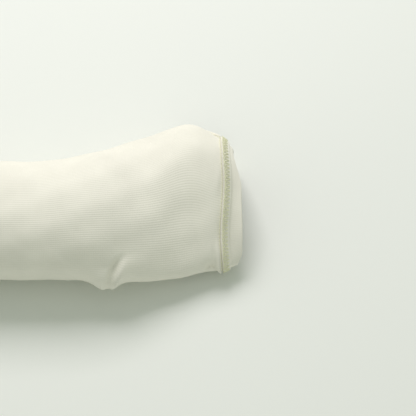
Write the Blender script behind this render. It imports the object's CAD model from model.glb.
import math

import bpy
import numpy as np
from bpy.props import FloatProperty, FloatVectorProperty, IntProperty, PointerProperty
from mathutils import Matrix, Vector
from mathutils.bvhtree import BVHTree


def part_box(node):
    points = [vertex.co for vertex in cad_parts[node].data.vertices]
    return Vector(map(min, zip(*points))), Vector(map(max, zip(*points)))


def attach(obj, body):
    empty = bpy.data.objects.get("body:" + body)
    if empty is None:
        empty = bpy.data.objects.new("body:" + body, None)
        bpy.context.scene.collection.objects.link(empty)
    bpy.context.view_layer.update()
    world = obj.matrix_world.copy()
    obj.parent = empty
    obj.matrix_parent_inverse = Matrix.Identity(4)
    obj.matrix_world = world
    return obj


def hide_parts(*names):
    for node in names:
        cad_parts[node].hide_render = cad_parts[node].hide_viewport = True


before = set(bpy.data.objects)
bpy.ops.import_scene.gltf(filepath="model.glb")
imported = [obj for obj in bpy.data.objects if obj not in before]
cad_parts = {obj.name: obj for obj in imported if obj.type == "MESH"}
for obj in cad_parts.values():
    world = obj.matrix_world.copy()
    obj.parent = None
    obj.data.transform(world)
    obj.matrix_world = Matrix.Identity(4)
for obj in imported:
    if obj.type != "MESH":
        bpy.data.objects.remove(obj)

bl_info = {
    "name": "Fingerless Jersey Glove",
    "version": (1, 0, 0),
    "blender": (4, 5, 0),
    "location": "3D View > Sidebar > Glove",
    "description": "Builds the fabric, seams and threads of a long fingerless glove around its CAD frame",
    "category": "Add Mesh",
}

MM = 0.001
BODY = "root"
SLOPE_RUN, SLOPE_RISE = math.cos(math.radians(30)), math.sin(math.radians(30))
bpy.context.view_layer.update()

# Places along the arm, read off the frame.
FINGER_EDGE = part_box("finger_band")[1].x
FINGER_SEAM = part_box("sleeve")[1].x
FINGER_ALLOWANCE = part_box("finger_band")[0].x
ARM_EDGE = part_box("upper_band")[0].x
ARM_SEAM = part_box("sleeve")[0].x
ARM_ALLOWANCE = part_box("upper_band")[1].x
HOLE_LOW, HOLE_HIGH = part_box("thumb_binding")

# Sizes of the cloth and the threads that the settings don't hold.
PALM_LIFT = 10.5 * MM
BAND_PLY = 0.5 * MM
ELASTIC_THICKNESS = 0.8 * MM
ELASTIC_DEPTH = 1.45 * MM
SEAM_THREAD_LIFT = 1.45 * MM
SIDE_STITCH_WIDTH = 5.0 * MM
BARTACK_PITCH = 0.34 * MM
NEEDLE_SHARE = 0.8
GATHERS = 46

# Table, sky and key light.
TABLE_REACH = 6.0
TABLE_DROP = 0.2 * MM
SKY_COLOUR = (0.93, 1.01, 0.90, 1)
SKY_STRENGTH = 0.47
LAMP_POWER = 12.3
LAMP_SIZE = 0.7
LAMP_COLOUR = (1.0, 0.955, 0.985)
LAMP_AIM = (0.0, 0.01, 0.02)
LAMP_DISTANCE = 1.35
LAMP_ELEVATION = math.radians(54)
LAMP_AZIMUTH = math.radians(100)
VIEW_TARGET = (FINGER_EDGE - 0.021, 0.0143, 0.020)

# Place along the arm, lean per turn, width, turn of the middle and reach in turns of each crease.
ELBOW_CREASES = (
    (-0.205, 0.10, 3.5 * MM, 0.62, 0.13), (-0.188, -0.08, 3.0 * MM, 0.70, 0.11),
    (-0.222, 0.14, 4.0 * MM, 0.52, 0.12), (-0.236, -0.06, 3.5 * MM, 0.78, 0.10),
    (-0.172, 0.12, 3.0 * MM, 0.45, 0.10), (-0.255, 0.05, 4.5 * MM, 0.33, 0.14),
    (-0.120, -0.15, 4.0 * MM, 0.30, 0.12), (-0.060, 0.12, 3.5 * MM, 0.22, 0.10))


# ---------------------------------------------------------------- settings

def length(name, description, default):
    """A length shown in the sidebar."""
    return FloatProperty(name=name, description=description, default=default, unit="LENGTH")


def tint(name, description, default):
    """A colour shown in the sidebar."""
    return FloatVectorProperty(
        name=name, description=description, default=default, subtype="COLOR", min=0, max=1)


class JerseySettings(bpy.types.PropertyGroup):
    """Sizes and colours of the knitted fabric."""

    thickness: length("Jersey thickness", "Thickness of one ply", 0.8 * MM)
    wales: IntProperty(
        name="Wales", description="Knit columns counted round the sleeve", default=176, min=8)
    course: length("Course pitch", "Length of one stitch along the arm", 1.05 * MM)
    colour: tint("Jersey colour", "Off-white of the cotton", (0.92, 0.885, 0.80))
    shade: tint("Hollow colour", "Colour between the knit columns", (0.84, 0.825, 0.705))
    relief: length("Knit relief", "Height of a knit column", 0.13 * MM)


class ThreadSettings(bpy.types.PropertyGroup):
    """Sizes and colours of the sewing threads."""

    radius: length("Thread radius", "Half the thickness of a looper thread", 0.19 * MM)
    stitch: length("Stitch length", "Pitch of the overlock stitches", 2.4 * MM)
    colour: tint("Thread colour", "Slightly yellow polyester", (0.95, 0.95, 0.68))


class StageSettings(bpy.types.PropertyGroup):
    """Camera and light of the table."""

    elevation: FloatProperty(
        name="Camera elevation", description="Angle of the view above the table",
        default=math.radians(60), subtype="ANGLE")
    distance: length("Camera distance", "From the camera to the glove's hand end", 0.80)
    view_width: length("View width", "Width of table seen at the glove", 0.260)
    table: tint("Table colour", "Pale table top", (0.86, 0.875, 0.835))


# ---------------------------------------------------------------- worn form

def smooth_step(low, high, value):
    """0 before low, 1 after high, and a smooth rise between."""
    share = np.clip((value - low) / (high - low), 0.0, 1.0)
    return share * share * (3 - 2 * share)


def bell(distance, width):
    """1 at no distance, falling off over the width."""
    return np.exp(-(distance / width) ** 2)


def unit_vectors(vectors):
    """The same directions, each one long."""
    return vectors / np.linalg.norm(vectors, axis=-1, keepdims=True)


def step_lengths(line):
    """Distance from each point of a line to the next."""
    return np.linalg.norm(np.diff(line, axis=0), axis=1)


def slope_of(points):
    """How far up the leaning view plane points lie."""
    return points[..., 1] * SLOPE_RUN + points[..., 2] * SLOPE_RISE


def facing_of(outs):
    """How far directions turn towards the leaning view plane's front."""
    return outs[..., 2] * SLOPE_RUN - outs[..., 1] * SLOPE_RISE


def smoothed(table, sigma, axis, wrap):
    """Gaussian smoothing along one axis, with sigma in samples."""
    reach = max(1, int(3 * sigma))
    offsets = np.arange(-reach, reach + 1)
    weights = np.exp(-0.5 * (offsets / sigma) ** 2)
    weights /= weights.sum()
    moved = np.moveaxis(table, axis, 0)
    if wrap:
        padded = np.concatenate([moved[-reach:], moved, moved[:reach]])
    else:
        before = 2 * moved[:1] - moved[reach:0:-1]
        after = 2 * moved[-1:] - moved[-2:-reach - 2:-1]
        padded = np.concatenate([before, moved, after])
    out = sum(w * padded[k:k + len(moved)] for k, w in enumerate(weights))
    return np.moveaxis(out, 0, axis)


class WornForm:
    """The glove's outer skin as rings of evenly spaced points, read off the CAD nodes."""

    rays = 360
    around = 288
    pitch = 1.5 * MM
    far = 0.3

    def __init__(self):
        depsgraph = bpy.context.evaluated_depsgraph_get()
        edge_room = 0.3 * MM
        stretches = [
            ("upper_band", ARM_EDGE + edge_room, ARM_SEAM - 4 * edge_room, 5 * MM),
            ("sleeve", ARM_SEAM + edge_room, FINGER_SEAM - edge_room, 2.5 * MM),
            ("finger_band", FINGER_SEAM + 4 * edge_room, FINGER_EDGE - edge_room, 1 * MM),
        ]
        places, rings = [], []
        for node, low, high, step in stretches:
            tree = BVHTree.FromObject(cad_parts[node], depsgraph)
            corners = np.array([v.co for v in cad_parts[node].data.vertices])
            for x in np.linspace(low, high, int((high - low) / step) + 2):
                near = corners[np.abs(corners[:, 0] - x) < 6 * MM]
                middle = (near.min(0) + near.max(0)) / 2
                places.append(x)
                rings.append(self.ring(tree, x, middle[1], middle[2]))
        places, rings = np.array(places), np.array(rings)
        count = int((FINGER_EDGE - ARM_EDGE) / self.pitch) + 1
        self.places = np.linspace(ARM_EDGE, FINGER_EDGE, count)
        table = np.empty((count, self.around, 3))
        table[:, :, 0] = self.places[:, None]
        for column in range(self.around):
            for axis in (1, 2):
                table[:, column, axis] = np.interp(self.places, places, rings[:, column, axis - 1])
        for row, x in enumerate(self.places):
            table[row, :, 1:] = self.leaned(table[row, :, 1:], x)
        table = smoothed(table, 2.0, 0, False)
        table = smoothed(table, 1.5, 1, True)
        table[:, :, 0] = self.places[:, None]
        table[:, :, 2] = np.maximum(table[:, :, 2], 0.0)
        self.table = table
        along = np.gradient(table, axis=0)
        round_it = (np.roll(table, -1, 1) - np.roll(table, 1, 1)) / 2
        out = np.cross(round_it, along)
        middles = table.mean(1, keepdims=True)
        flip = np.sign((out * (table - middles)).sum(2).mean())
        self.out = unit_vectors(flip * out)
        self.girths = np.linalg.norm(np.roll(table, -1, 1) - table, axis=2).sum(1)
        self.side_places = None
        thread = np.array([v.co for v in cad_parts["side_seam_thread"].data.vertices])
        places = np.linspace(ARM_SEAM + MM, HOLE_LOW.x - MM, 40)
        heights = [thread[np.abs(thread[:, 0] - x) < 12 * MM][:, 2] for x in places]
        turns = [self.turn_at_height(x, (h.min() + h.max()) / 2) for x, h in zip(places, heights)]
        self.side_places = (places, smoothed(np.array(turns), 2.0, 0, False))

    def ring(self, tree, x, y, z):
        """Evenly spaced (y, z) points round one cross-section, starting on the thumb's side."""
        angles = np.arange(self.rays) * 2 * math.pi / self.rays
        reach = np.full(self.rays, np.nan)
        for k, angle in enumerate(angles):
            way = Vector((0, math.cos(angle), math.sin(angle)))
            hit = tree.ray_cast(Vector((x, y, z)) + way * self.far, -way)[0]
            if hit is not None:
                reach[k] = (hit - Vector((x, y, z))).dot(way)
        missing = np.isnan(reach) | (reach < 5 * MM)
        missing |= np.roll(missing, 1) | np.roll(missing, -1) | np.roll(missing, 2) | np.roll(missing, -2)
        points = np.stack([y + reach * np.cos(angles), z + reach * np.sin(angles)], 1)
        if missing.any():
            points = self.bridge(points, missing)
        closed = np.vstack([points, points[:1]])
        lengths = np.r_[0, np.cumsum(step_lengths(closed))]
        wanted = np.arange(self.around) * lengths[-1] / self.around
        return np.stack([np.interp(wanted, lengths, closed[:, k]) for k in (0, 1)], 1)

    def bridge(self, points, missing):
        """Fill a gap in a ring with a curve that runs on from both of its sides."""
        shift = int(np.argmin(missing))
        rolled = np.roll(points, -shift, 0)
        gap = np.flatnonzero(np.roll(missing, -shift))
        first, last = gap[0] - 1, gap[-1] + 1
        lead = 6
        start, end = rolled[first], rolled[last % self.rays]
        span = np.linalg.norm(end - start)
        into = start - rolled[first - lead]
        away = rolled[(last + lead) % self.rays] - end
        into *= 1.3 * span / np.linalg.norm(into)
        away *= 1.3 * span / np.linalg.norm(away)
        t = ((np.arange(first + 1, last) - first) / (last - first))[:, None]
        rolled[first + 1:last] = (
            (2 * t ** 3 - 3 * t ** 2 + 1) * start + (t ** 3 - 2 * t ** 2 + t) * into
            + (3 * t ** 2 - 2 * t ** 3) * end + (t ** 3 - t ** 2) * away)
        return np.roll(rolled, shift, 0)

    def leaned(self, ring, x):
        """Raise the palm's ridge towards the thumb, so that the palm leans as one flat."""
        share = smooth_step(38 * MM, 76 * MM, x) * (1 - 0.5 * smooth_step(86 * MM, 100 * MM, x))
        y, z = ring[:, 0], ring[:, 1]
        low, high = y.min(), y.max()
        across = (y - low) / (high - low)
        hump = smooth_step(0.12, 0.66, across) * smooth_step(1.02, 0.80, across)
        top = smooth_step(0.25, 0.9, z / z.max())
        moved = ring.copy()
        moved[:, 1] += share * PALM_LIFT * hump * top
        moved[:, 0] += share * 5 * MM * hump * top
        moved[:, 0] += 3.4 * MM * smooth_step(62 * MM, 78 * MM, x) * smooth_step(0.28, 0.0, across)
        moved[:, 0] -= 6 * MM * smooth_step(86 * MM, 98 * MM, x) * smooth_step(0.55, 1.0, across)
        return moved

    def sample(self, table, turn, x):
        """Smooth reading of a table of rings at turns round the glove and places along it."""
        turn, x = np.broadcast_arrays(np.asarray(turn, float), np.asarray(x, float))
        column = (turn % 1.0) * self.around
        row = np.clip((x - ARM_EDGE) / (FINGER_EDGE - ARM_EDGE), 0, 1) * (len(self.places) - 1)
        c0 = np.floor(column).astype(int)
        r0 = np.minimum(np.floor(row).astype(int), len(self.places) - 2)
        total = 0
        for r_step, r_weight in zip((-1, 0, 1, 2), cubic_weights(row - r0)):
            rows = np.clip(r0 + r_step, 0, len(self.places) - 1)
            for c_step, c_weight in zip((-1, 0, 1, 2), cubic_weights(column - c0)):
                total = total + table[rows, (c0 + c_step) % self.around] * (r_weight * c_weight)[..., None]
        return total

    def girth(self, x):
        """Distance round the glove at a place along it."""
        return np.interp(x, self.places, self.girths)

    def turn_at_height(self, x, z):
        """Where round the thumb's side the skin has a given height."""
        turns = np.linspace(-0.16, 0.16, 129)
        heights = self.sample(self.table, turns, np.full_like(turns, x))[:, 2]
        return float(np.interp(z, heights, turns))

    def skin(self, turn, x, lift=0.0):
        """Points of the folded fabric, lifted off the worn form by a distance."""
        point = self.sample(self.table, turn, x)
        out = unit_vectors(self.sample(self.out, turn, x))
        rise = np.asarray(lift) + self.folds(turn, x, point, out)
        placed = point + out * np.asarray(rise)[..., None]
        slope = slope_of(point)
        near = smooth_step(12 * MM, 3 * MM, np.abs(x - FINGER_ALLOWANCE - 2 * MM))
        placed[..., 0] += near * 0.7 * MM * np.sin((slope - 22 * MM) / (9.5 * MM))
        placed[..., 2] = np.maximum(placed[..., 2], -np.minimum(lift, 0.0))
        return placed

    def folds(self, turn, x, point, out):
        """Height of the folds and wrinkles over the worn form."""
        slope = slope_of(point)
        facing = smooth_step(-0.35, 0.15, facing_of(out))
        rise = facing * (wrist_fold(x, slope) + seam_puckers(x, slope) + forearm_creases(x, slope))
        drift = (np.sin(x * 190 + turn * 25) * np.sin(turn * 44 - x * 60)
                 + 0.6 * np.sin(x * 90 - turn * 31 + 1.3) * np.sin(turn * 19 + 0.5))
        rise = rise + 0.28 * MM * drift * smooth_step(0.0, 8 * MM, FINGER_SEAM - x)
        thumb_side = smooth_step(0.3, 0.8, out[..., 1]) * smooth_step(94 * MM, 88 * MM, x)
        rise = rise + 5.0 * MM * thumb_side * bell(x - 84 * MM, 9 * MM) * bell(
            point[..., 2] - 20 * MM, 12 * MM)
        groove = bell((turn - np.round(turn) - self.side_turn(x)) * self.girth(x), 0.9 * MM)
        rise = rise + 0.55 * MM * elbow_creases(turn, x)
        return rise - 0.4 * MM * groove * smooth_step(0.0, 4 * MM, HOLE_LOW.x - x)

    def side_turn(self, x):
        """Where round the glove the side seam runs."""
        if self.side_places is None:
            return 0.0 * x
        return np.interp(x, *self.side_places)


def wrist_fold(x, slope):
    """Fold at the heel of the hand: a sharp valley with the cloth standing out beyond it."""
    valley = 28.1 * MM + 0.6 * (slope + 7.6 * MM)
    past = (x - valley) / math.hypot(1.0, 0.6)
    depth = smooth_step(-4 * MM, -19 * MM, slope) * (1 - smooth_step(-18 * MM, -25 * MM, slope))
    step = smooth_step(-0.9 * MM, 2.2 * MM, past) * np.exp(-np.maximum(past - 3 * MM, 0) / (7 * MM))
    dip = bell(past + 1.6 * MM, 1.7 * MM) * smooth_step(-4 * MM, -12 * MM, slope)
    dip *= smooth_step(-24 * MM, -18 * MM, slope)
    bulge = bell(x - 16.5 * MM, 8.0 * MM) * smooth_step(-12 * MM, -23 * MM, slope)
    return 3.6 * MM * depth * step - 1.7 * MM * dip + 6.4 * MM * bulge


def seam_puckers(x, slope):
    """Groove, ridge and notch where the band pulls the sleeve in at the fingers."""
    low = smooth_step(8 * MM, -14 * MM, slope)
    groove = bell(x - (FINGER_ALLOWANCE - 0.3 * MM), 0.8 * MM) * smooth_step(30 * MM, 0.0, slope)
    ridge = bell(x - (FINGER_SEAM - 6.0 * MM), 1.3 * MM)
    valley = bell(x - (FINGER_SEAM - 8.6 * MM), 1.7 * MM)
    notch = bell(x - (FINGER_SEAM - 10.5 * MM), 3.2 * MM) * smooth_step(-8 * MM, -17 * MM, slope)
    streak = bell(x - (FINGER_SEAM - 6.0 * MM) + 0.15 * (46 * MM - slope), 1.1 * MM)
    streak *= bell(slope - 40 * MM, 7 * MM)
    tip = smooth_step(-10 * MM, -18 * MM, slope)
    return (1.2 * MM * (low + 1.6 * tip) * ridge - 1.0 * MM * low * valley - 0.6 * MM * groove
            - 3.6 * MM * notch + 0.5 * MM * streak)


def elbow_creases(turn, x):
    """Soft slanting creases where the sleeve bends at the elbow and slackens above the wrist."""
    total = 0.0
    for place, lean, width, centre, reach in ELBOW_CREASES:
        off = (turn - centre + 0.5) % 1.0 - 0.5
        total = total + bell(x - place - lean * off, width) * bell(off, reach)
    return total


def forearm_creases(x, slope):
    """Faint slanting wrinkles between the forearm and the heel of the hand."""
    total = 0.0
    for start, lean, height in ((3 * MM, 1.15, 0.55 * MM), (-8 * MM, 1.3, 0.4 * MM),
                                (-24 * MM, 1.5, 0.3 * MM)):
        across = (x - start - lean * (-slope - 20 * MM)) / math.hypot(1, lean)
        total = total + height * bell(across, 2.6 * MM)
    return total * bell(slope + 14 * MM, 11 * MM)


def cubic_weights(share):
    """Weights of four neighbouring samples in a Catmull-Rom curve."""
    s2, s3 = share * share, share ** 3
    return (-0.5 * s3 + s2 - 0.5 * share, 1.5 * s3 - 2.5 * s2 + 1,
            -1.5 * s3 + 2 * s2 + 0.5 * share, 0.5 * s3 - 0.5 * s2)


# ---------------------------------------------------------------- mesh helpers

def mesh_object(name, points, faces, uvs=None, material=None):
    """A smooth-shaded mesh object with an optional fabric map, one (u, v) list a face."""
    mesh = bpy.data.meshes.new(name)
    mesh.from_pydata([tuple(p) for p in np.asarray(points).reshape(-1, 3)], [], faces)
    if uvs is not None:
        layer = mesh.uv_layers.new(name="fabric")
        layer.data.foreach_set("uv", np.asarray([c for face in uvs for c in face], float).ravel())
    mesh.polygons.foreach_set("use_smooth", [True] * len(mesh.polygons))
    mesh.update()
    made = bpy.data.objects.new(name, mesh)
    bpy.context.scene.collection.objects.link(made)
    if material is not None:
        mesh.materials.append(material)
    return made


def ring_faces(rings, sides, closed):
    """Quads between neighbouring rings of points."""
    faces = []
    for k in range(rings if closed else rings - 1):
        ahead = (k + 1) % rings
        for n in range(sides):
            m = (n + 1) % sides
            faces.append((k * sides + n, k * sides + m, ahead * sides + m, ahead * sides + n))
    return faces


def applied(made):
    """Turn an object's modifiers into a plain mesh and drop them."""
    depsgraph = bpy.context.evaluated_depsgraph_get()
    plain = bpy.data.meshes.new_from_object(made.evaluated_get(depsgraph))
    plain.name = made.name
    made.modifiers.clear()
    made.data = plain
    return made


def unwrapped(turns):
    """Turns of a face's corners with none of them a whole turn behind the others."""
    top = max(turns)
    return [t + 1 if top - t > 0.5 else t for t in turns]


def finish_piece(piece, nodes):
    """Ride a piece on the glove, let it stand for its CAD nodes and name its finish."""
    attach(piece, BODY)
    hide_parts(*nodes)
    return piece


# ---------------------------------------------------------------- materials

def new_material(name):
    """An empty node material with its shader and output."""
    material = bpy.data.materials.new(name)
    material.use_nodes = True
    nodes = material.node_tree.nodes
    return material, nodes, material.node_tree.links, nodes["Principled BSDF"]


def math_node(nodes, links, operation, first, second=None):
    """A maths node fed by values or sockets."""
    node = nodes.new("ShaderNodeMath")
    node.operation = operation
    for socket, value in zip(node.inputs, (first, second)):
        if value is None:
            continue
        if isinstance(value, (int, float)):
            socket.default_value = value
        else:
            links.new(value, socket)
    return node.outputs[0]


def two_tones(nodes, links, share, low, high):
    """Colour between two tones, ruled by a socket."""
    tone = nodes.new("ShaderNodeMix")
    tone.data_type = "RGBA"
    tone.inputs[6].default_value = (*low, 1)
    tone.inputs[7].default_value = (*high, 1)
    links.new(share, tone.inputs[0])
    return tone.outputs[2]


def raise_surface(nodes, links, shader, height, distance, strength=1.0):
    """Bump a shader's surface by a height socket."""
    bump = nodes.new("ShaderNodeBump")
    bump.inputs["Strength"].default_value = strength
    bump.inputs["Distance"].default_value = distance
    links.new(height, bump.inputs["Height"])
    links.new(bump.outputs[0], shader.inputs["Normal"])


def jersey_material(name, settings, wales, girth, course):
    """Stocking-stitch jersey: columns along the arm, each a row of slanted loops."""
    material, nodes, links, shader = new_material(name)

    def maths(*parts):
        """A maths node of this material."""
        return math_node(nodes, links, *parts)

    uv = nodes.new("ShaderNodeUVMap")
    uv.uv_map = "fabric"
    split = nodes.new("ShaderNodeSeparateXYZ")
    links.new(uv.outputs[0], split.inputs[0])
    across = maths("MULTIPLY", split.outputs[0], wales / girth)
    along = maths("MULTIPLY", split.outputs[1], 1.0 / course)
    cell = maths("FRACT", across)
    centred = maths("SUBTRACT", cell, 0.5)
    side = maths("MULTIPLY", maths("ABSOLUTE", centred), 2.0)
    column = maths("SINE", maths("MULTIPLY", cell, math.pi))
    column = maths("POWER", column, 0.7)
    slant = maths("ADD", along, maths("MULTIPLY", side, 0.45))
    wave = maths("SINE", maths("MULTIPLY", slant, 2 * math.pi))
    loop = maths("MULTIPLY_ADD", wave, 0.16)
    loop.node.inputs[2].default_value = 0.84
    height = maths("MULTIPLY", column, loop)

    place = nodes.new("ShaderNodeTexCoord")
    fuzz = nodes.new("ShaderNodeTexNoise")
    fuzz.inputs["Scale"].default_value = 2600.0
    fuzz.inputs["Detail"].default_value = 3.0
    links.new(place.outputs["Object"], fuzz.inputs["Vector"])
    cloud = nodes.new("ShaderNodeTexNoise")
    cloud.inputs["Scale"].default_value = 55.0
    cloud.inputs["Detail"].default_value = 4.0
    links.new(place.outputs["Object"], cloud.inputs["Vector"])

    fluff = maths("MULTIPLY", fuzz.outputs[0], 0.25)
    total = maths("ADD", height, fluff)
    raise_surface(nodes, links, shader, total, settings.relief, 0.65)

    share = maths("POWER", height, 0.6)
    tone = two_tones(nodes, links, share, settings.shade, settings.colour)
    drift = nodes.new("ShaderNodeMapRange")
    drift.inputs["From Min"].default_value = 0.3
    drift.inputs["From Max"].default_value = 0.7
    drift.inputs["To Min"].default_value = 0.965
    drift.inputs["To Max"].default_value = 1.03
    links.new(cloud.outputs[0], drift.inputs["Value"])
    tinted = nodes.new("ShaderNodeVectorMath")
    tinted.operation = "SCALE"
    links.new(tone, tinted.inputs[0])
    links.new(drift.outputs[0], tinted.inputs["Scale"])
    links.new(tinted.outputs[0], shader.inputs["Base Color"])
    shader.inputs["Roughness"].default_value = 0.92
    shader.inputs["Specular IOR Level"].default_value = 0.15
    shader.inputs["Sheen Weight"].default_value = 0.25
    shader.inputs["Sheen Roughness"].default_value = 0.6
    shader.inputs["Sheen Tint"].default_value = (1.0, 0.98, 0.94, 1)
    return material


def thread_material(name, colour):
    """Spun polyester thread with its twist."""
    material, nodes, links, shader = new_material(name)
    place = nodes.new("ShaderNodeTexCoord")
    twist = nodes.new("ShaderNodeTexWave")
    twist.wave_type = "BANDS"
    twist.bands_direction = "DIAGONAL"
    twist.inputs["Scale"].default_value = 420.0
    twist.inputs["Distortion"].default_value = 1.5
    links.new(place.outputs["Object"], twist.inputs["Vector"])
    tone = two_tones(nodes, links, twist.outputs[1], [0.86 * c for c in colour], colour)
    links.new(tone, shader.inputs["Base Color"])
    raise_surface(nodes, links, shader, twist.outputs[1], 0.05 * MM, 0.4)
    shader.inputs["Roughness"].default_value = 0.6
    shader.inputs["Sheen Weight"].default_value = 0.2
    return material


def gathers(form):
    """Mover that gives the upper casing the soft gathers of its elastic."""
    def place(turns, x, lift):
        wave = np.sin(turns * 2 * math.pi * GATHERS) + 0.4 * np.sin(turns * 2 * math.pi * 17 + 1.0)
        middle = (ARM_EDGE + ARM_SEAM) / 2
        depth = np.maximum(1 - ((x - middle) / (0.62 * (ARM_SEAM - ARM_EDGE))) ** 2, 0)
        return x, lift - 0.35 * MM * depth * (1 + wave)
    return place


def elastic_material():
    """Woven elastic with ribs along the strip."""
    material, nodes, links, shader = new_material("woven elastic")
    uv = nodes.new("ShaderNodeUVMap")
    uv.uv_map = "fabric"
    ribs = nodes.new("ShaderNodeTexWave")
    ribs.wave_type = "BANDS"
    ribs.bands_direction = "Y"
    ribs.inputs["Scale"].default_value = 260.0
    links.new(uv.outputs[0], ribs.inputs["Vector"])
    tone = two_tones(nodes, links, ribs.outputs[1], (0.72, 0.71, 0.66), (0.85, 0.84, 0.80))
    links.new(tone, shader.inputs["Base Color"])
    raise_surface(nodes, links, shader, ribs.outputs[1], 0.15 * MM)
    shader.inputs["Roughness"].default_value = 0.7
    return material


def table_material(settings):
    """Pale matt table top with a slight fall-off of tone."""
    material, nodes, links, shader = new_material("pale table")
    place = nodes.new("ShaderNodeTexCoord")
    grain = nodes.new("ShaderNodeTexNoise")
    grain.inputs["Scale"].default_value = 3.0
    links.new(place.outputs["Object"], grain.inputs["Vector"])
    tone = two_tones(nodes, links, grain.outputs[0], [0.985 * c for c in settings.table], settings.table)
    links.new(tone, shader.inputs["Base Color"])
    shader.inputs["Roughness"].default_value = 0.8
    shader.inputs["Specular IOR Level"].default_value = 0.2
    return material


# ---------------------------------------------------------------- sleeve

def sleeve_object(form, material, thickness):
    """The sleeve's panel as a grid round the arm, with the thumb opening set into it."""
    columns, hand_rows, spread, margin = 216, 88, 9, 4
    arm_pitch, hand_start = 3.2 * MM, -10 * MM
    rows = np.r_[np.arange(ARM_SEAM, hand_start - 2 * MM, arm_pitch),
                 np.linspace(hand_start, FINGER_SEAM, hand_rows)]
    hole = thumb_hole(form)
    turns = np.arange(columns) / columns
    low_row = int(np.searchsorted(rows, hole["x"].min() - 3 * MM)) - 1
    high_row = min(int(np.searchsorted(rows, hole["x"].max() + 0.1 * MM)), len(rows) - 1)
    low_col = int(math.floor(hole["turn"].min() * columns)) - margin
    high_col = int(math.ceil(hole["turn"].max() * columns)) + margin
    inside_rows = range(low_row + 1, high_row)
    inside_cols = {c % columns for c in range(low_col + 1, high_col)}
    index, params = {}, []
    for r, x in enumerate(rows):
        for c in range(columns):
            if r in inside_rows and c in inside_cols:
                continue
            index[r, c] = len(params)
            params.append((turns[c], x))
    faces = []
    face_rows = range(low_row, high_row)
    face_cols = {c % columns for c in range(low_col, high_col)}
    for r in range(len(rows) - 1):
        for c in range(columns):
            if r in face_rows and c in face_cols:
                continue
            d = (c + 1) % columns
            faces.append((index[r, c], index[r, d], index[r + 1, d], index[r + 1, c]))
    loop = [(low_row, c) for c in range(low_col, high_col)]
    loop += [(r, high_col) for r in range(low_row, high_row)]
    loop += [(high_row, c) for c in range(high_col, low_col, -1)]
    loop += [(r, low_col) for r in range(high_row, low_row, -1)]
    border = [index[r, c % columns] for r, c in loop]
    starts = np.array([(c / columns, rows[r]) for r, c in loop])
    middle = np.array([hole["turn"].mean(), hole["x"].mean()])
    size = np.array([np.ptp(hole["turn"]), np.ptp(hole["x"])]) / 2

    def angle_of(pairs):
        """Direction of each (turn, place) seen from the middle of the opening."""
        return np.arctan2((pairs[:, 0] - middle[0]) / size[0], (pairs[:, 1] - middle[1]) / size[1])

    hole_params = np.stack([hole["turn"], hole["x"]], 1)
    order = np.argsort(angle_of(hole_params))
    hole_angles = angle_of(hole_params)[order]
    ends = np.stack([np.interp(angle_of(starts), hole_angles, hole_params[order][:, k], period=2 * math.pi)
                     for k in (0, 1)], 1)
    previous = border
    for step in range(1, spread + 1):
        share = 1 - (1 - step / spread) ** 1.5
        current = []
        for start, end in zip(starts, ends):
            current.append(len(params))
            params.append(tuple(start + (end - start) * share))
        for k in range(len(loop)):
            m = (k + 1) % len(loop)
            faces.append((previous[k], previous[m], current[m], current[k]))
        previous = current
    params = np.array(params)
    points = form.skin(params[:, 0], params[:, 1])
    girth = form.girths.mean()
    uvs = []
    for face in faces:
        face_turns = unwrapped([params[v, 0] % 1.0 for v in face])
        uvs.append([(t * girth, params[v, 1]) for t, v in zip(face_turns, face)])
    sleeve = mesh_object("sleeve_jersey", points, faces, uvs, material)
    wall = sleeve.modifiers.new("wall", "SOLIDIFY")
    wall.thickness = thickness
    wall.offset = -1
    wall.use_even_offset = True
    return sleeve


def thumb_hole(form):
    """Edge of the thumb opening as turns, places and points, once round."""
    count = 160
    angles = np.arange(count) * 2 * math.pi / count
    middle = (HOLE_LOW + HOLE_HIGH) / 2
    reach = (HOLE_HIGH - HOLE_LOW) / 2
    x = middle.x + reach.x * np.cos(angles)
    z = middle.z + reach.z * np.sin(angles)
    turn = np.array([form.turn_at_height(a, b) for a, b in zip(x, z)])
    return {"x": x, "turn": turn, "points": form.skin(turn, x)}


# ---------------------------------------------------------------- bands and binding

def strip_profile(centre, thickness):
    """Closed outline of a strip of cloth seen end on, from the line through its middle."""
    line = np.array(centre)
    way = unit_vectors(np.gradient(line, axis=0))
    side = np.stack([-way[:, 1], way[:, 0]], 1) * thickness / 2
    return np.vstack([line + side, (line - side)[::-1]])


def rounded(points, passes=2):
    """Corner-cutting of an open line, keeping its ends."""
    line = np.array(points, float)
    for _ in range(passes):
        first = 0.75 * line[:-1] + 0.25 * line[1:]
        second = 0.25 * line[:-1] + 0.75 * line[1:]
        line = np.vstack([line[:1], np.stack([first, second], 1).reshape(-1, 2), line[-1:]])
    return line


def swept_ring(name, form, profile, material, columns=288, place=None):
    """Sweep a closed (x, lift) outline all the way round the glove."""
    turns = np.arange(columns) / columns
    outline = np.asarray(profile)
    count = len(outline)
    grid_turns = np.repeat(turns, count)
    grid_x = np.tile(outline[:, 0], columns)
    grid_lift = np.tile(outline[:, 1], columns)
    if place is not None:
        grid_x, grid_lift = place(grid_turns, grid_x, grid_lift)
    points = form.skin(grid_turns, grid_x, grid_lift)
    lengths = np.r_[0, np.cumsum(step_lengths(outline))]
    girth = form.girths.mean()
    uvs = []
    for turn in turns:
        u, v = turn * girth, (turn + 1 / columns) * girth
        for k in range(count):
            low, high = lengths[k], lengths[k + 1] if k + 1 < count else lengths[-1]
            uvs.append([(u, low), (u, high), (v, high), (v, low)])
    return mesh_object(name, points, ring_faces(columns, count, True), uvs, material)


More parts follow.
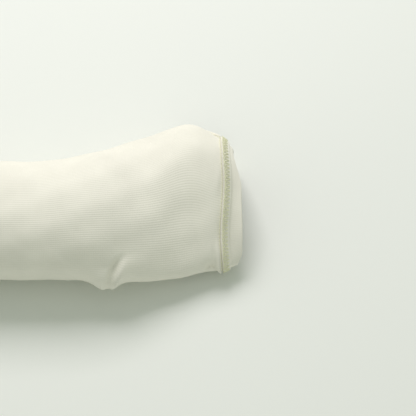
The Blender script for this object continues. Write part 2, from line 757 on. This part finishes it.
def finger_band_line():
    """Middle line of the finger band's strip as (place, lift) pairs, from raw edge to raw edge."""
    a, s, e = FINGER_ALLOWANCE + 0.2 * MM, FINGER_SEAM, FINGER_EDGE
    return rounded([
        (a, 0.35 * MM), (s - 0.3 * MM, 0.35 * MM), (s + 0.15 * MM, -0.1 * MM), (s + 0.3 * MM, -1.0 * MM),
        (s + 1.3 * MM, -1.5 * MM), (e - 1.2 * MM, -1.5 * MM), (e - 0.1 * MM, -1.3 * MM),
        (e - 0.1 * MM, -0.3 * MM), (e - 1.2 * MM, -0.1 * MM), (s + 4.0 * MM, 0.05 * MM),
        (s + 1.5 * MM, -0.15 * MM), (s + 0.75 * MM, 0.2 * MM), (s + 0.55 * MM, 0.85 * MM),
        (s - 0.2 * MM, 1.0 * MM), (a, 0.95 * MM)])


def rounded_corners(form):
    """Mover that sets the finger band's free edge back where it turns round the hand's edges."""
    def place(turns, x, lift):
        width = FINGER_EDGE - FINGER_SEAM
        spots = form.sample(form.table, turns, np.full_like(x, FINGER_EDGE - MM))
        outs = form.sample(form.out, turns, np.full_like(x, FINGER_EDGE - 3 * MM))
        slope = slope_of(spots)
        facing = smooth_step(-0.3, 0.3, facing_of(outs))
        back = 0.6 * MM * smooth_step(10 * MM, 30 * MM, slope)
        back += 4.4 * MM * smooth_step(36 * MM, 52 * MM, slope)
        back += 4.2 * MM * smooth_step(-5 * MM, -17 * MM, slope)
        back = facing * back + (1 - facing) * 4.2 * MM
        past = np.maximum(x - FINGER_SEAM - MM, 0)
        return x - past * back / (width - MM), lift
    return place


def upper_band_line():
    """Middle line of the upper band's strip as (place, lift) pairs, from raw edge to raw edge."""
    a, s, e = ARM_ALLOWANCE - 0.2 * MM, ARM_SEAM, ARM_EDGE
    return rounded([
        (a, 0.35 * MM), (s + 0.3 * MM, 0.35 * MM), (s - 0.15 * MM, -0.1 * MM), (s - 0.4 * MM, -2.0 * MM),
        (s - 2.0 * MM, -2.6 * MM), (e + 1.4 * MM, -2.6 * MM), (e + 0.3 * MM, -2.2 * MM),
        (e + 0.3 * MM, -0.7 * MM), (e + 1.4 * MM, -0.35 * MM), (s - 3.0 * MM, -0.3 * MM),
        (s - 1.2 * MM, -0.3 * MM), (s - 0.75 * MM, 0.2 * MM), (s - 0.55 * MM, 0.85 * MM),
        (s + 0.2 * MM, 1.0 * MM), (a, 0.95 * MM)])


def edge_frame(form, hole):
    """Along, out and inward directions at each point of the thumb opening's edge."""
    points = hole["points"]
    along = unit_vectors(np.roll(points, -1, 0) - np.roll(points, 1, 0))
    out = unit_vectors(form.sample(form.out, hole["turn"], hole["x"]))
    inward = unit_vectors(np.cross(out, along))
    towards = points.mean(0) - points
    if (inward * towards).sum() < 0:
        inward = -inward
    return along, out, inward


def binding_object(form, material, thickness):
    """Rolled edge of the thumb opening, an oval roll swept round it."""
    hole = thumb_hole(form)
    along, out, inward = edge_frame(form, hole)
    sides = 14
    angles = np.arange(sides) * 2 * math.pi / sides
    half_width, half_height, centre = 1.2 * MM, 1.15 * MM, 0.3 * MM
    points = []
    for p, o, i in zip(hole["points"], out, inward):
        middle = p + o * 1.05 * MM + i * centre
        for a in angles:
            points.append(middle + i * half_width * math.cos(a) + o * half_height * math.sin(a))
    count = len(hole["points"])
    uvs = []
    for k in range(count):
        for s in range(sides):
            u, v, w, z = k * 0.6 * MM, (k + 1) * 0.6 * MM, s * 0.45 * MM, (s + 1) * 0.45 * MM
            uvs.append([(w, u), (z, u), (z, v), (w, v)])
    return mesh_object("thumb_roll", points, ring_faces(count, sides, True), uvs, material)


# ---------------------------------------------------------------- threads

def tube(line, radius, sides=5):
    """Points and faces of a round thread along a line, closed at both ends."""
    line = np.array(line, float)
    way = unit_vectors(np.gradient(line, axis=0))
    guide = np.array([0.13, 0.21, 0.97])
    first = unit_vectors(np.cross(way, guide))
    second = np.cross(way, first)
    angles = np.arange(sides) * 2 * math.pi / sides
    rings = [p + radius * (np.cos(angles)[:, None] * a + np.sin(angles)[:, None] * b)
             for p, a, b in zip(line, first, second)]
    points = np.concatenate(rings)
    faces = ring_faces(len(line), sides, False)
    faces.append(tuple(range(sides))[::-1])
    faces.append(tuple((len(line) - 1) * sides + n for n in range(sides)))
    return points, faces


def unit_object(name, lines, radius):
    """One stitch as a small mesh of threads."""
    points, faces = [], []
    for line in lines:
        new_points, new_faces = tube(line, radius)
        faces += [tuple(v + len(points) for v in face) for face in new_faces]
        points += list(new_points)
    made = mesh_object(name, points, faces)
    made.data.flip_normals()
    return made


def stitch_tree():
    """Node tree that repeats a unit stitch along a path, turned to the cloth."""
    name = "stitches along a path"
    if name in bpy.data.node_groups:
        return bpy.data.node_groups[name]
    tree = bpy.data.node_groups.new(name, "GeometryNodeTree")
    for label, kind in (("Geometry", "Geometry"), ("Unit", "Object"), ("Stitch Length", "Float"),
                        ("Unevenness", "Float"), ("Seed", "Int"), ("Material", "Material")):
        tree.interface.new_socket(label, in_out="INPUT", socket_type="NodeSocket" + kind)
    tree.interface.new_socket("Geometry", in_out="OUTPUT", socket_type="NodeSocketGeometry")
    nodes, links = tree.nodes, tree.links
    given, result = nodes.new("NodeGroupInput"), nodes.new("NodeGroupOutput")
    curve = nodes.new("GeometryNodeMeshToCurve")
    resample = nodes.new("GeometryNodeResampleCurve")
    resample.mode = "LENGTH"
    place = nodes.new("GeometryNodeInstanceOnPoints")
    unit = nodes.new("GeometryNodeObjectInfo")
    outward = nodes.new("GeometryNodeInputNamedAttribute")
    outward.data_type = "FLOAT_VECTOR"
    outward.inputs["Name"].default_value = "out"
    tangent = nodes.new("GeometryNodeInputTangent")
    stand = nodes.new("FunctionNodeAlignRotationToVector")
    stand.axis = "Z"
    aim = nodes.new("FunctionNodeAlignRotationToVector")
    aim.axis = "X"
    aim.pivot_axis = "Z"
    spread = nodes.new("FunctionNodeRandomValue")
    spread.data_type = "FLOAT"
    for operation, limit in (("SUBTRACT", spread.inputs[2]), ("ADD", spread.inputs[3])):
        bound = nodes.new("ShaderNodeMath")
        bound.operation = operation
        bound.inputs[0].default_value = 1.0
        links.new(given.outputs["Unevenness"], bound.inputs[1])
        links.new(bound.outputs[0], limit)
    realize = nodes.new("GeometryNodeRealizeInstances")
    dress = nodes.new("GeometryNodeSetMaterial")
    for source, target in (
            (given.outputs["Geometry"], curve.inputs["Mesh"]),
            (curve.outputs[0], resample.inputs["Curve"]),
            (given.outputs["Stitch Length"], resample.inputs["Length"]),
            (resample.outputs[0], place.inputs["Points"]),
            (given.outputs["Unit"], unit.inputs["Object"]),
            (unit.outputs["Geometry"], place.inputs["Instance"]),
            (outward.outputs[0], stand.inputs["Vector"]),
            (stand.outputs[0], aim.inputs["Rotation"]),
            (tangent.outputs[0], aim.inputs["Vector"]),
            (aim.outputs[0], place.inputs["Rotation"]),
            (given.outputs["Seed"], spread.inputs["Seed"]),
            (spread.outputs[1], place.inputs["Scale"]),
            (place.outputs[0], realize.inputs[0]),
            (realize.outputs[0], dress.inputs["Geometry"]),
            (given.outputs["Material"], dress.inputs["Material"]),
            (dress.outputs[0], result.inputs["Geometry"])):
        links.new(source, target)
    return tree


def stitched(name, points, outs, closed, unit, pitch, material, uneven=0.06, seed=7):
    """A plain mesh of stitches set along a path of points with outward directions."""
    count = len(points)
    edges = [(k, k + 1) for k in range(count - 1)] + ([(count - 1, 0)] if closed else [])
    mesh = bpy.data.meshes.new(name)
    mesh.from_pydata([tuple(p) for p in points], edges, [])
    layer = mesh.attributes.new("out", "FLOAT_VECTOR", "POINT")
    layer.data.foreach_set("vector", np.asarray(outs, float).ravel())
    made = bpy.data.objects.new(name, mesh)
    bpy.context.scene.collection.objects.link(made)
    closed_points = np.vstack([points, points[:1]]) if closed else np.asarray(points)
    length = step_lengths(closed_points).sum()
    tree = stitch_tree()
    modifier = made.modifiers.new("stitches", "NODES")
    modifier.node_group = tree
    values = {
        "Unit": unit, "Stitch Length": float(length / max(1, round(length / pitch))),
        "Unevenness": uneven, "Seed": seed, "Material": material}
    for item in tree.interface.items_tree:
        if item.in_out == "INPUT" and item.name in values:
            modifier[item.identifier] = values[item.name]
    applied(made)
    bpy.data.objects.remove(unit)
    return made


def ring_path(form, x, lift, count=360):
    """Points and outward directions once round the glove at a place along it."""
    turns = np.arange(count) / count
    places = np.full(count, x)
    points = form.skin(turns, places, lift)
    outs = form.sample(form.out, turns, places)
    return points, outs


def overlock_unit(name, width, pitch, radius):
    """Looper threads of one overlock stitch, from the needle line over the raw edge."""
    half, step = width / 2, pitch / 2 * 0.98
    over = [(-step, half, 0), (-0.62 * step, 0.3 * half, 0.4 * radius), (-0.3 * step, -0.5 * half, 0),
            (-0.12 * step, -half, -radius), (0, -half - 0.8 * radius, -3 * radius),
            (0.12 * step, -half, -radius), (0.3 * step, -0.5 * half, 0),
            (0.62 * step, 0.3 * half, 0.4 * radius), (step, half, 0)]
    chain = [(-step, half * 0.85, radius), (-0.4 * step, half * 1.0, 1.3 * radius),
             (0.4 * step, half * 0.8, 1.3 * radius), (step, half * 0.85, radius)]
    return unit_object(name, [over, chain], radius)


def needle_unit(name, length, radius):
    """One straight stitch that dips into the cloth at both ends."""
    return unit_object(name, [[
        (-0.42 * length, 0, -1.6 * radius), (-0.34 * length, 0, -0.2 * radius),
        (-0.15 * length, 0, 0.5 * radius), (0.15 * length, 0, 0.5 * radius),
        (0.34 * length, 0, -0.2 * radius), (0.42 * length, 0, -1.6 * radius)]], radius)


# ---------------------------------------------------------------- operators

WORN = {}


def worn_form():
    """The worn form, traced once and kept for all the operators."""
    if "form" not in WORN:
        WORN["form"] = WornForm()
    return WORN["form"]


def band_material(settings):
    """Jersey of the bands, with its columns across the strip."""
    if "glove band jersey" in bpy.data.materials:
        return bpy.data.materials["glove band jersey"]
    form = worn_form()
    return jersey_material("glove band jersey", settings, settings.wales, form.girths.mean(),
                           settings.course)


class GLOVE_OT_stage(bpy.types.Operator):
    """Set the table, the soft light and the camera"""

    bl_idname = "glove.stage"
    bl_label = "Stage"

    def execute(self, context):
        settings = context.scene.glove_stage
        corners = [(x * TABLE_REACH, y * TABLE_REACH, 0) for x, y in ((-1, -1), (1, -1), (1, 1), (-1, 1))]
        table = mesh_object("table", corners, [(0, 1, 2, 3)], None, table_material(settings))
        table.location.z = -TABLE_DROP

        world = bpy.data.worlds.new("studio")
        world.use_nodes = True
        world.node_tree.nodes["Background"].inputs[0].default_value = SKY_COLOUR
        world.node_tree.nodes["Background"].inputs[1].default_value = SKY_STRENGTH
        context.scene.world = world
        lamp = bpy.data.lights.new("soft key", "AREA")
        lamp.energy = LAMP_POWER
        lamp.size = LAMP_SIZE
        lamp.color = LAMP_COLOUR
        key = bpy.data.objects.new("soft key", lamp)
        context.scene.collection.objects.link(key)
        level = math.cos(LAMP_ELEVATION)
        way = Vector((math.cos(LAMP_AZIMUTH) * level, math.sin(LAMP_AZIMUTH) * level,
                      math.sin(LAMP_ELEVATION)))
        key.location = Vector(LAMP_AIM) + way * LAMP_DISTANCE
        key.rotation_euler = way.to_track_quat("Z", "Y").to_euler()

        camera_data = bpy.data.cameras.new("camera")
        camera = bpy.data.objects.new("camera", camera_data)
        context.scene.collection.objects.link(camera)
        back = Vector((0, -math.cos(settings.elevation), math.sin(settings.elevation)))
        camera.location = Vector(VIEW_TARGET) + back * settings.distance
        camera.rotation_euler = back.to_track_quat("Z", "Y").to_euler()
        camera_data.sensor_width = 36.0
        camera_data.lens = camera_data.sensor_width * settings.distance / settings.view_width
        camera_data.clip_start = 0.01
        context.scene.camera = camera
        context.scene.view_settings.view_transform = "Standard"
        return {"FINISHED"}


class GLOVE_OT_sleeve(bpy.types.Operator):
    """Make the sleeve's jersey panel with its folds and thumb opening"""

    bl_idname = "glove.sleeve"
    bl_label = "Sleeve"

    def execute(self, context):
        jersey = context.scene.glove_jersey
        form = worn_form()
        material = jersey_material("glove jersey", jersey, jersey.wales, form.girths.mean(), jersey.course)
        sleeve = applied(sleeve_object(form, material, jersey.thickness))
        finish_piece(sleeve, ["sleeve"])
        return {"FINISHED"}


class GLOVE_OT_bands(bpy.types.Operator):
    """Make the folded finger band and the folded upper band"""

    bl_idname = "glove.bands"
    bl_label = "Bands"

    def execute(self, context):
        jersey = context.scene.glove_jersey
        form = worn_form()
        material = band_material(jersey)
        for name, line, node, place, mover in (
                ("finger_band_fold", finger_band_line(), "finger_band", FINGER_SEAM,
                 rounded_corners(form)),
                ("upper_band_fold", upper_band_line(), "upper_band", ARM_SEAM, gathers(form))):
            band = swept_ring(name, form, strip_profile(line, BAND_PLY), material, place=mover)
            finish_piece(band, [node])
            float(form.girth(place))
        return {"FINISHED"}


class GLOVE_OT_thumb_edge(bpy.types.Operator):
    """Make the rolled edge of the thumb opening"""

    bl_idname = "glove.thumb_edge"
    bl_label = "Thumb Edge"

    def execute(self, context):
        jersey = context.scene.glove_jersey
        roll = binding_object(worn_form(), band_material(jersey), jersey.thickness)
        finish_piece(roll, ["thumb_binding"])
        return {"FINISHED"}


def thread_finish(colour):
    """The sewing thread's material, made once."""
    name = "glove thread"
    if name in bpy.data.materials:
        return bpy.data.materials[name]
    return thread_material(name, colour)


class GLOVE_OT_seams(bpy.types.Operator):
    """Sew the overlock and needle stitches of both band seams"""

    bl_idname = "glove.seams"
    bl_label = "Band Seams"

    def execute(self, context):
        thread = context.scene.glove_thread
        form = worn_form()
        material = thread_finish(thread.colour)
        for side, edge, seam, outer in (("finger", FINGER_ALLOWANCE, FINGER_SEAM, -1),
                                        ("upper", ARM_ALLOWANCE, ARM_SEAM, 1)):
            width = abs(seam - edge) - 0.4 * MM
            points, outs = ring_path(form, (edge + seam) / 2, SEAM_THREAD_LIFT)
            if outer < 0:
                points, outs = points[::-1], outs[::-1]
            unit = overlock_unit(side + " stitch", width, thread.stitch, thread.radius)
            loops = stitched(side + "_overlock", points, outs, True, unit, thread.stitch, material)
            finish_piece(loops, [side + "_looper_threads"])
            points, outs = ring_path(form, edge + outer * 0.3 * MM, 0.12 * MM)
            unit = needle_unit(side + " needle stitch", thread.stitch, NEEDLE_SHARE * thread.radius)
            row = stitched(side + "_needle_row", points, outs, True, unit, thread.stitch, material)
            finish_piece(row, [side + "_needle_thread"])
        return {"FINISHED"}


class GLOVE_OT_thumb_stitches(bpy.types.Operator):
    """Sew the stitches and the bartack of the thumb opening"""

    bl_idname = "glove.thumb_stitches"
    bl_label = "Thumb Stitches"

    def execute(self, context):
        thread = context.scene.glove_thread
        form = worn_form()
        material = thread_finish(thread.colour)
        hole = thumb_hole(form)
        along, out, inward = edge_frame(form, hole)
        points = hole["points"] - inward * 0.8 * MM + out * 0.15 * MM
        keep = hole["x"] < FINGER_ALLOWANCE - 1.5 * MM
        start = int(np.argmin(keep))
        order = np.roll(np.arange(len(keep)), -start)
        order = order[keep[order]]
        unit = needle_unit("thumb stitch", thread.stitch, NEEDLE_SHARE * thread.radius)
        row = stitched("thumb_edge_row", points[order], out[order], False, unit, thread.stitch, material)
        finish_piece(row, ["thumb_edge_thread"])
        low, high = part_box("thumb_bartack")
        heights = np.linspace(low.z, high.z, 9)
        x = (low.x + high.x) / 2
        turns = np.array([form.turn_at_height(x, z) for z in heights])
        places = np.full(len(turns), x)
        points = form.skin(turns, places, 0.15 * MM)
        outs = form.sample(form.out, turns, places)
        half = (high.x - low.x) / 2
        bar = [(-0.1 * MM, -half, -0.2 * MM), (0, -0.6 * half, 0.1 * MM), (0, 0.6 * half, 0.1 * MM),
               (0.1 * MM, half, -0.2 * MM)]
        unit = unit_object("bartack bar", [bar], NEEDLE_SHARE * thread.radius)
        tack = stitched("thumb_bartack_bars", points, outs, False, unit, BARTACK_PITCH, material)
        finish_piece(tack, ["thumb_bartack"])
        return {"FINISHED"}


class GLOVE_OT_inside(bpy.types.Operator):
    """Make what lies inside: the side seam's overlock and the elastic of the upper casing"""

    bl_idname = "glove.inside"
    bl_label = "Inside"

    def execute(self, context):
        jersey = context.scene.glove_jersey
        thread = context.scene.glove_thread
        form = worn_form()
        low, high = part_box("side_seam_thread")
        places = np.linspace(low.x + MM, min(high.x, HOLE_LOW.x) - MM, 260)
        turns = form.side_turn(places)
        depth = jersey.thickness + SEAM_THREAD_LIFT
        points = form.skin(turns, places, -depth)
        outs = -form.sample(form.out, turns, places)
        unit = overlock_unit("side stitch", SIDE_STITCH_WIDTH, thread.stitch, thread.radius)
        loops = stitched("side_overlock", points, outs, False, unit, thread.stitch,
                         thread_finish(thread.colour))
        finish_piece(loops, ["side_seam_thread"])
        low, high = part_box("upper_elastic")
        line = [(low.x + 0.2 * MM, -ELASTIC_DEPTH), (high.x - 0.2 * MM, -ELASTIC_DEPTH)]
        line = np.stack([np.linspace(a, b, 12) for a, b in zip(*line)], 1)
        strip = swept_ring("elastic_strip", form, strip_profile(line, ELASTIC_THICKNESS),
                           elastic_material())
        finish_piece(strip, ["upper_elastic"])
        return {"FINISHED"}


class GLOVE_PT_panel(bpy.types.Panel):
    """Sidebar list of the glove's makers"""

    bl_label = "Fingerless Glove"
    bl_idname = "GLOVE_PT_panel"
    bl_space_type = "VIEW_3D"
    bl_region_type = "UI"
    bl_category = "Glove"

    def draw(self, context):
        for operator in STEPS:
            self.layout.operator(operator.bl_idname)
        for owner in (context.scene.glove_jersey, context.scene.glove_thread, context.scene.glove_stage):
            box = self.layout.box()
            for name in owner.__annotations__:
                box.prop(owner, name)


STEPS = (GLOVE_OT_stage, GLOVE_OT_sleeve, GLOVE_OT_bands, GLOVE_OT_thumb_edge, GLOVE_OT_seams,
         GLOVE_OT_thumb_stitches, GLOVE_OT_inside)
GROUPS = {"glove_jersey": JerseySettings, "glove_thread": ThreadSettings, "glove_stage": StageSettings}


def register():
    """Register the settings, the operators and the panel."""
    for kind in (*GROUPS.values(), *STEPS, GLOVE_PT_panel):
        bpy.utils.register_class(kind)
    for name, kind in GROUPS.items():
        setattr(bpy.types.Scene, name, PointerProperty(type=kind))


def unregister():
    """Take the panel, the operators and the settings away again."""
    for name in GROUPS:
        delattr(bpy.types.Scene, name)
    for kind in (GLOVE_PT_panel, *reversed(STEPS), *GROUPS.values()):
        bpy.utils.unregister_class(kind)


def plain(bounds):
    """A box as plain lists of numbers."""
    return [[float(value) for value in corner] for corner in bounds]


def main():
    """Build the glove piece by piece."""
    register()
    for operator in STEPS:
        group, name = operator.bl_idname.split(".")
        getattr(getattr(bpy.ops, group), name)()


if __name__ == "__main__":
    main()
